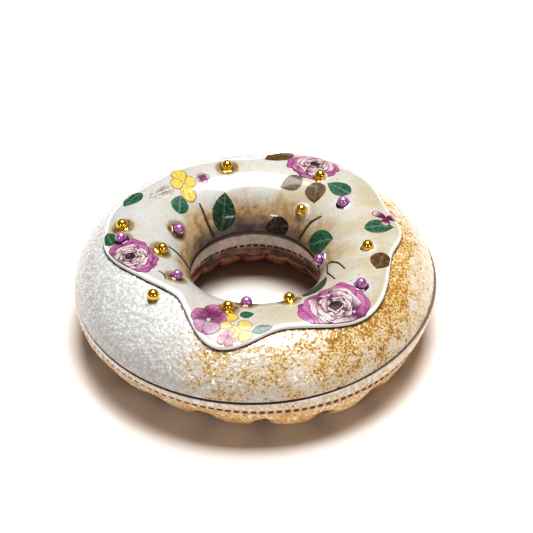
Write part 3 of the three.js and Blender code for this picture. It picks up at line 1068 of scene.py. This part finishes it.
class Transfer:
    """A printed motif fired onto the icing, made of flat patches laid over each other."""

    def __init__(self, place):
        self.place = place
        self.places = []
        self.tints = []
        self.faces = []
        self.layers = 0

    def flat(self, place):
        """Where another place is on this motif's flat sheet, in millimetres."""
        middle = (self.place[1] + place[1]) / 2
        radius = section(TOP, math.radians(self.place[0]), middle, ICING_LIFT)[0]
        degrees = (place[0] - self.place[0] + 180) % 360 - 180
        up = walk_to(place[1]) - walk_to(self.place[1])
        return np.array([math.radians(degrees) * radius, up])

    def lay(self, x, y, tint, closed):
        """Lays a grid of points as one patch. A closed one joins its last column to its first."""
        columns, rows = x.shape
        start = sum(len(places) for places in self.places)
        lift = FILM_LIFT + FILM_STEP * self.layers
        self.places.append(on_icing(self.place, x.ravel(), y.ravel(), lift))
        self.tints.append(tint.reshape(-1, 3))
        for column in range(columns if closed else columns - 1):
            near = column * rows + start
            far = (column + 1) % columns * rows + start
            for row in range(rows - 1):
                self.faces.append((near + row, far + row, far + row + 1, near + row + 1))
        self.layers += 1

    def turned(self, root, heading, along, across, tint, closed):
        """Lays a patch that was drawn along x, from its root and turned to its heading."""
        cos, sin = math.cos(math.radians(heading)), math.sin(math.radians(heading))
        x = root[0] + along * cos - across * sin
        y = root[1] + along * sin + across * cos
        self.lay(x, y, tint, closed)

    def petal(self, root, length, width, heading, tints, wave=0.0, phase=0.0):
        """A round petal from its root, tinted (near, far, line), with the heading in degrees."""
        near_tint, far_tint, line_tint = tints
        turn = np.linspace(0, 2 * math.pi, PETAL_POINTS + 1)[:-1, None]
        swell = 1 + wave * np.cos(6 * turn + phase)
        along = length / 2 * (1 - np.cos(turn)) * swell
        across = width / 2 * np.sin(turn) * (0.8 + 0.2 * (1 - np.cos(turn))) * swell
        middle = length * 0.52
        along = middle + (along - middle) * PETAL_RINGS
        across = across * PETAL_RINGS
        tint = blend(near_tint, far_tint, smooth(along / length, 0.4, 0.97))
        fan = np.arctan2(across, along + 0.2 * length)
        strokes = smooth(np.cos(24 * fan + 3 * phase), 0.1, 1)
        strokes = 0.4 * strokes * smooth(along / length, 1.05, 0.6)
        line_start = 1 - min(PETAL_LINE / width, 0.3)
        edge = smooth(PETAL_RINGS, line_start, (1 + line_start) / 2)[None, :] + 0 * along
        lines = np.maximum(strokes, edge)[..., None]
        tint = tint * (1 - lines) + np.array(line_tint)[:3] * lines
        self.turned(root, heading, along, across, tint, True)

    def leaf(self, stalk, tip, width, tint, dark_tint, light_tint):
        """A toothed leaf between two points, with a midrib and side veins."""
        way = tip - stalk
        length = np.linalg.norm(way)
        heading = math.degrees(math.atan2(way[1], way[0]))
        t = np.linspace(0, 1, LEAF_ROWS)[:, None]
        s = LEAF_STRIPS[None, :]
        out = np.abs(s)
        saw = 1 + 0.07 * (np.mod(t * LEAF_TEETH, 1) - 0.5)
        half = width / 2 * np.sin(math.pi * t ** 0.85) ** 0.75 * saw
        along = t * length * (1 - 0.05 * out) + 0 * s
        shade = 0.35 + 0.5 * out + 0.2 * np.sin(9 * t + 4 * out)
        rib = smooth(out, 0.1, 0.03)
        vein = (np.abs(np.mod(t * LEAF_VEINS - out * 1.1, 1) - 0.5) < 0.07) * (out < 0.85)
        light = np.clip(rib * 0.8 + vein * 0.35, 0, 1)[..., None]
        tints = blend(dark_tint, tint, shade) * (1 - light) + np.array(light_tint)[:3] * light
        self.turned(stalk, heading, along, half * s, tints, False)

    def stroke(self, points, width, tint):
        """A tapered line of enamel through points, such as a twig."""
        points = np.array(points, float)
        known = np.linspace(0, 1, len(points))
        t = np.linspace(0, 1, 8 * len(points))
        line = np.stack([np.interp(t, known, points[:, axis]) for axis in (0, 1)], axis=-1)
        for _ in range(6):
            line[1:-1] = (line[:-2] + line[1:-1] * 2 + line[2:]) / 4
        way = np.gradient(line, axis=0)
        side = np.stack([-way[:, 1], way[:, 0]], axis=-1)
        side = side / np.linalg.norm(side, axis=1, keepdims=True)
        half = (width / 2 * (0.35 + 0.65 * np.sin(math.pi * (0.1 + 0.8 * t))))[:, None]
        edges = half * np.array([[1, 0, -1]])
        x = line[:, :1] + side[:, :1] * edges
        y = line[:, 1:] + side[:, 1:] * edges
        self.lay(x, y, np.broadcast_to(np.array(tint)[:3], (*x.shape, 3)), False)

    def fire(self, name):
        """The finished transfer as one piece on the icing."""
        places = np.concatenate(self.places)
        piece = new_piece(name, places, self.faces, flower_enamel)
        kept = piece.data.attributes.new("tint", "FLOAT_COLOR", "POINT")
        tints = np.concatenate(self.tints)
        kept.data.foreach_set("color", np.hstack([tints, np.ones((len(tints), 1))]).ravel())
        weld = piece.modifiers.new("close the middles", "WELD")
        weld.merge_threshold = 0.000001
        film = piece.modifiers.new("film", "SOLIDIFY")
        film.thickness = FILM_THICKNESS * MM
        film.offset = -1
        return piece


# %% [markdown]
# ### Roses
#
# A cabbage rose seen from above is ring upon ring of petals, ever smaller, and each ring is turned by
# the golden angle. Drawn from the outside in, each petal hides the roots of the last ring, so dark
# roots under pale rims leave the crescents that make it read as a rose.

# %% Roses
PLUM = colour(40, 8, 30)
DEEP_MAGENTA = colour(80, 14, 60)
MAGENTA = colour(122, 34, 94)
ROSE_PINK = colour(184, 112, 156)
WARM_PINK = colour(170, 90, 146)
PALE_PINK = colour(218, 196, 202)
CREAM_PINK = colour(216, 206, 196)
GOLDEN_ANGLE = 137.5
ROSE_RINGS = [
    (7, 1.0, DEEP_MAGENTA, WARM_PINK),
    (6, 0.85, MAGENTA, ROSE_PINK),
    (5, 0.71, DEEP_MAGENTA, PALE_PINK),
    (6, 0.56, MAGENTA, CREAM_PINK),
    (5, 0.42, DEEP_MAGENTA, PALE_PINK),
    (5, 0.27, PLUM, CREAM_PINK),
]
HEART_STROKES = (20, 100, 190, 280)


def pointing(degrees):
    """One millimetre on the flat sheet in a direction, or in each of many."""
    return np.stack([np.cos(np.radians(degrees)), np.sin(np.radians(degrees))], axis=-1)


def rose(name, place, width, depth, heading, seed):
    """A generic cabbage rose, about width by depth in millimetres."""
    transfer = Transfer(place)
    draw = np.random.default_rng(seed)
    stretch = depth / width
    radius = width / 2
    middle = radius * 0.14 * pointing(heading - 90)
    for ring, (petals, share, near, far) in enumerate(ROSE_RINGS):
        for index in range(petals):
            toward = heading + ring * GOLDEN_ANGLE + index * 360 / petals + draw.uniform(-10, 10)
            squeeze = np.linalg.norm(pointing(toward) * (1, stretch))
            length = radius * share * draw.uniform(0.9, 1.06) * squeeze
            broad = radius * share * 6.6 / petals * draw.uniform(0.95, 1.1)
            tints = (near, far, DEEP_MAGENTA)
            transfer.petal(middle, length, broad, toward, tints, 0.04, draw.uniform(0, 6))
    for turn in HEART_STROKES:
        arc = radius * 0.17 * pointing(turn + np.array([0, 30, 60, 90])) * (1, stretch)
        transfer.stroke(middle + arc, 0.4, PLUM)
    return transfer.fire(name)


rose("rose_front", (307.2, 1.01), 20.5, 13.8, 25, 3)
rose("rose_left", (193.5, 0.97), 14, 13.8, 70, 5)
rose("rose_back", (63.5, 0.9), 15, 12.5, 10, 8)
print("roses: 3")

# %% [markdown]
# ### Leaves and twigs
#
# Each leaf runs from its stalk to its tip, and each twig through a few places. They are all given as
# places on the ring, so they sit where the print was laid whichever way the surface turns there.

# %% Leaves and twigs
GREEN = (colour(30, 98, 68), colour(9, 46, 32), colour(92, 138, 114))
DARK_GREEN = (colour(22, 68, 46), colour(8, 28, 20), colour(62, 100, 80))
OLIVE = (colour(92, 62, 20), colour(44, 30, 10), colour(108, 88, 40))
FADED = (colour(206, 200, 188), colour(74, 46, 30), colour(222, 218, 210))
DARK_BROWN = (colour(42, 28, 18), colour(16, 10, 8), colour(72, 56, 40))
LEAVES = {
    "leaf_left_1": ((148.5, 0.82), (159.5, 0.76), 5.6, GREEN),
    "leaf_left_2": ((184.5, 0.79), (175.8, 0.7), 4.4, GREEN),
    "leaf_hole_left": ((148.5, 1.38), (137.5, 1.21), 5.0, GREEN),
    "leaf_hole_large": ((122.2, 1.84), (110.2, 1.38), 7.0, DARK_GREEN),
    "leaf_hole_right": ((34.2, 1.86), (13.8, 1.51), 6.6, GREEN),
    "leaf_right_1": ((37.5, 1.03), (51.5, 1.08), 5.2, GREEN),
    "leaf_right_2": ((10.5, 1.14), (9.8, 0.79), 5.8, GREEN),
    "leaf_front_dark": ((300.8, 1.36), (332.5, 1.54), 4.4, DARK_GREEN),
    "leaf_hole_brown": ((60.5, 1.76), (82.8, 1.88), 5.4, DARK_BROWN),
    "leaf_heart": ((56.8, 1.13), (48.8, 1.39), 5.8, OLIVE),
    "leaf_back_1": ((75.5, 0.68), (86.5, 0.94), 6.4, OLIVE),
    "leaf_faded": ((137, 1.08), (151, 0.98), 5.0, FADED),
    "leaf_back_2": ((64, 1.16), (75, 1.34), 5.0, OLIVE),
    "leaf_right_olive": ((351.5, 0.93), (339.5, 0.95), 5.8, OLIVE),
    "leaf_posy_1": ((263.5, 1.08), (270.5, 1.12), 3.0, GREEN),
    "leaf_posy_2": ((269.5, 0.84), (278.5, 0.9), 2.8, GREEN),
}
for name, (stalk, tip, width, tints) in LEAVES.items():
    turn = (tip[0] - stalk[0] + 180) % 360 - 180
    transfer = Transfer((stalk[0] + turn / 2, (stalk[1] + tip[1]) / 2))
    transfer.leaf(transfer.flat(stalk), transfer.flat(tip), width, *tints)
    transfer.fire(name)

BROWN_TWIG = colour(74, 52, 34)
GREEN_TWIG = colour(36, 70, 56)
OLIVE_TWIG = colour(44, 30, 10)
TENDRIL = [(322.8, 1.32), (338.2, 1.58), (352.5, 1.67), (352, 1.59), (345.2, 1.45), (334.5, 1.3)]
TWIGS = {
    "twig_back_left": ([(131.2, 1.41), (133.2, 1.64), (131.2, 1.85), (127.2, 1.96)], 0.75, BROWN_TWIG),
    "twig_left": ([(181, 1.43), (182.2, 1.58), (184.3, 1.72), (182, 1.91)], 0.65, GREEN_TWIG),
    "twig_back_right": ([(48.8, 1.96), (45.2, 1.76), (42.8, 1.59), (37.8, 1.46)], 0.65, BROWN_TWIG),
    "tendril_right": (TENDRIL, 0.45, OLIVE_TWIG),
    "twig_small": ([(208.2, 1.19), (211.5, 1.22), (216, 1.19)], 0.4, GREEN_TWIG),
}
for name, (way, width, tint) in TWIGS.items():
    transfer = Transfer(way[len(way) // 2])
    transfer.stroke([transfer.flat(place) for place in way], width, tint)
    transfer.fire(name)
print("leaves and twigs:", len(LEAVES) + len(TWIGS))

# %% [markdown]
# ### Small flowers
#
# The posy on the front drip has a violet, two yellow flowers and a dark-eyed one. The back has a
# yellow blossom with a pale bud, and the right has a pink bud. Each is a few petals round a small
# heart. The petals are given by their lengths, their width and the way the first one points, and the
# heart by its width and tint.

# %% Small flowers
YELLOW = colour(210, 192, 80)
PALE_YELLOW = colour(212, 198, 118)
PINK_LINE = colour(140, 52, 78)
PALE_GREEN = colour(176, 190, 160)
VIOLET_EYE = colour(72, 44, 84)
VIOLET_TINTS = (MAGENTA, ROSE_PINK, PLUM)
YELLOW_TINTS = (YELLOW, YELLOW, PINK_LINE)
PALE_TINTS = (ROSE_PINK, PALE_YELLOW, PINK_LINE)
BUD_TINTS = (DEEP_MAGENTA, PALE_PINK, MAGENTA)
SMALL_FLOWERS = {
    "violet": ((250.8, 0.92), [5.4, 6.2, 5.2, 4.2, 4.6], 4.8, 20, VIOLET_TINTS, 1.4, PALE_GREEN),
    "yellow_flower_1": ((259.4, 0.95), [3.2] * 2, 3.6, 75, YELLOW_TINTS, 0.7, PALE_YELLOW),
    "yellow_flower_2": ((265.4, 0.84), [3.5] * 3, 3.9, 70, YELLOW_TINTS, 0.8, PALE_YELLOW),
    "dark_eyed_flower": ((260.5, 0.76), [3.0] * 5, 2.4, 0, PALE_TINTS, 1.2, VIOLET_EYE),
    "yellow_blossom": ((130.5, 1.08), [6.8, 3.4, 6.2, 3.6], 4.2, 72, YELLOW_TINTS, 0.9, PALE_YELLOW),
    "pale_bud": ((119.8, 1.13), [1.9] * 4, 2.0, 0, BUD_TINTS, 0.8, DEEP_MAGENTA),
    "pink_bud": ((15.4, 0.85), [4.2, 3.2, 3.4], 2.6, 40, BUD_TINTS, 0.9, MAGENTA),
}


def small_flower(name, place, lengths, width, heading, tints, heart, heart_tint):
    """A flower with one petal for each length, round a heart of its own width and tint."""
    transfer = Transfer(place)
    for index, length in enumerate(lengths):
        toward = heading + index * 360 / len(lengths)
        transfer.petal((0, 0), length, width, toward, tints, 0.015, index * 1.7)
    transfer.petal((-heart / 2, 0), heart, heart, 0, (heart_tint, heart_tint, tints[2]))
    return transfer.fire(name)


for name, details in SMALL_FLOWERS.items():
    small_flower(name, *details)
print("small flowers:", len(SMALL_FLOWERS))

# %% [markdown]
# ## The studio
#
# The doughnut stands on a white table with a large soft light above and behind it, which leaves a
# bright window on the back of the icing and a soft shadow in front. Two small soft lights in front
# bring out the pebbles. A dim room round them keeps the lustre beads dark where no light is.

# %% Floor
FLOOR_HALF = 3.0
FLOOR_HEIGHT = -0.00002
CORNERS = [(-1, -1), (1, -1), (1, 1), (-1, 1)]

white_table, tree, shader = new_glaze("white_table", Roughness=0.7, Specular_IOR_Level=0.2)
paper = placed(tree, clouds, Size_mm=60, Start=0.3, End=0.8)["Mask"]
tree.links.new(mixed(tree, paper, colour(248, 240, 234), colour(245, 237, 231)), shader["Base Color"])
floor_mesh = bpy.data.meshes.new("table")
places = [(x * FLOOR_HALF, y * FLOOR_HALF, FLOOR_HEIGHT) for x, y in CORNERS]
floor_mesh.from_pydata(places, [], [(0, 1, 2, 3)])
floor_mesh.materials.append(white_table)
floor = bpy.data.objects.new("table", floor_mesh)
bpy.context.scene.collection.objects.link(floor)

# %% Lights
LOOK_AT = Vector((0, 0, 0.015))
CEILING = 0.8
SOFTBOX_PLACE = Vector((0.038, 0.2, CEILING))
SOFTBOX_SIZE = (0.41, 0.46)
SOFTBOX_WATTS = 10
FRONT_DISTANCE = 0.9
FRONT_DEPTH = 0.06
FRONT_WATTS = 0.78
FRONT_TINT = (1, 0.95, 0.9)
FRONT_LIGHTS = {"front_left_light": (-152, 24, 0.15), "front_right_light": (140, 22, 0.2)}
ROOM_TINT = (1.0, 0.72, 0.52, 1)
ROOM_STRENGTH = 0.02


def soft_light(name, place, aim, size, watts, tint):
    """A rectangular light at a place in metres, facing the point that it is aimed at."""
    lamp = bpy.data.lights.new(name, "AREA")
    lamp.shape = "RECTANGLE"
    lamp.size, lamp.size_y = size
    lamp.energy = watts
    lamp.color = tint
    light = bpy.data.objects.new(name, lamp)
    light.location = place
    light.rotation_mode = "QUATERNION"
    light.rotation_quaternion = (Vector(place) - Vector(aim)).to_track_quat("Z", "Y")
    bpy.context.scene.collection.objects.link(light)
    return light


def away_from_ring(azimuth, elevation, distance):
    """A place seen from the doughnut: azimuth 0 is straight behind it and 90 on its right."""
    a, e = math.radians(azimuth), math.radians(elevation)
    toward = Vector((math.sin(a) * math.cos(e), math.cos(a) * math.cos(e), math.sin(e)))
    return LOOK_AT + distance * toward


straight_down = SOFTBOX_PLACE - Vector((0, 0, CEILING))
soft_light("overhead_softbox", SOFTBOX_PLACE, straight_down, SOFTBOX_SIZE, SOFTBOX_WATTS, (1, 1, 1))
for name, (azimuth, elevation, width) in FRONT_LIGHTS.items():
    place = away_from_ring(azimuth, elevation, FRONT_DISTANCE)
    soft_light(name, place, LOOK_AT, (width, FRONT_DEPTH), FRONT_WATTS, FRONT_TINT)

room = bpy.data.worlds.new("room")
room.use_nodes = True
backdrop = room.node_tree.nodes["Background"]
backdrop.inputs["Color"].default_value = ROOM_TINT
backdrop.inputs["Strength"].default_value = ROOM_STRENGTH
bpy.context.scene.world = room
bpy.context.scene.view_settings.view_transform = "Standard"
bpy.context.scene.view_settings.look = "Medium High Contrast"

# %% [markdown]
# ## The camera
#
# The photograph was taken from a little over 40 degrees with a long lens. The camera's place was
# found by fitting the ring's outline: tilt, distance, and a small shift of the ring in the frame.

# %% Camera
CAMERA_TILT = math.radians(40.3)
CAMERA_DISTANCE = 600
CAMERA_ROLL = math.radians(-1)
VIEW_ANGLE = math.radians(14)
SENSOR_WIDTH = 36
RIGHT_OF_RING = 3.24
ABOVE_RING = 3.0

forward = Vector((0, math.cos(CAMERA_TILT), -math.sin(CAMERA_TILT)))
level_up = Vector((0, math.sin(CAMERA_TILT), math.cos(CAMERA_TILT)))
level_right = Vector((1, 0, 0))
right = level_right * math.cos(CAMERA_ROLL) - level_up * math.sin(CAMERA_ROLL)
upward = level_up * math.cos(CAMERA_ROLL) + level_right * math.sin(CAMERA_ROLL)
offset = right * RIGHT_OF_RING + upward * ABOVE_RING - forward * CAMERA_DISTANCE

lens = bpy.data.cameras.new("camera")
lens.sensor_width = SENSOR_WIDTH
lens.lens = SENSOR_WIDTH / 2 / math.tan(VIEW_ANGLE / 2)
lens.clip_start = 0.05
camera = bpy.data.objects.new("camera", lens)
bpy.context.scene.collection.objects.link(camera)
axes = Matrix((right, upward, -forward)).transposed().to_4x4()
camera.matrix_world = Matrix.Translation(Vector(RING_CENTRE) + offset * MM) @ axes
bpy.context.scene.camera = camera
